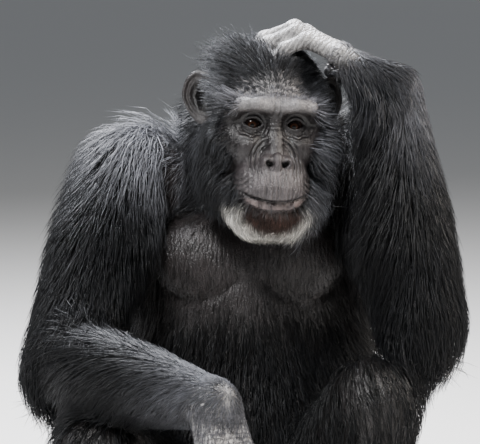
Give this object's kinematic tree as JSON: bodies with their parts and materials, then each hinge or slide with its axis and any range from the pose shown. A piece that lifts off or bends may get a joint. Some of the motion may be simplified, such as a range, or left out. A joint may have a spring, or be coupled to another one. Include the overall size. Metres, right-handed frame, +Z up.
{
  "type": "chimpanzee",
  "caption": "Life-size chimpanzee in a black coat, sitting on the floor with its knees up, one hand laid on its head and the other arm across its lap.",
  "frame": {"origin": "on the floor, in the middle of the flat that the rump sits on", "axes": "+Z up, -Y the way that the animal faces, +X its left"},
  "size_m": [0.5661, 0.7778, 0.7659],
  "materials": {
    "coat": "black hair with a bluish sheen",
    "face_skin": "dark wrinkled skin",
    "hand_skin": "grey wrinkled skin",
    "eye": "wet brown eye"
  },
  "bodies": {
    "root": {"eye_left": "eye", "eye_right": "eye", "head": "face_skin", "ear_left": "face_skin", "ear_right": "face_skin", "chest": "coat", "abdomen": "coat", "pelvis": "coat", "neck": "coat", "thigh_left": "coat", "shin_left": "coat", "foot_left": "hand_skin", "big_toe_left": "hand_skin", "second_toe_left": "hand_skin", "third_toe_left": "hand_skin", "fourth_toe_left": "hand_skin", "fifth_toe_left": "hand_skin", "thigh_right": "coat", "shin_right": "coat", "foot_right": "hand_skin", "big_toe_right": "hand_skin", "second_toe_right": "hand_skin", "third_toe_right": "hand_skin", "fourth_toe_right": "hand_skin", "fifth_toe_right": "hand_skin", "upper_arm_left": "coat", "forearm_left": "coat", "hand_left": "hand_skin", "thumb_left": "hand_skin", "index_finger_left": "hand_skin", "middle_finger_left": "hand_skin", "ring_finger_left": "hand_skin", "little_finger_left": "hand_skin", "upper_arm_right": "coat", "forearm_right": "coat", "hand_right": "hand_skin", "thumb_right": "hand_skin", "index_finger_right": "hand_skin", "middle_finger_right": "hand_skin", "ring_finger_right": "hand_skin", "little_finger_right": "hand_skin"}
  },
  "joints": []
}
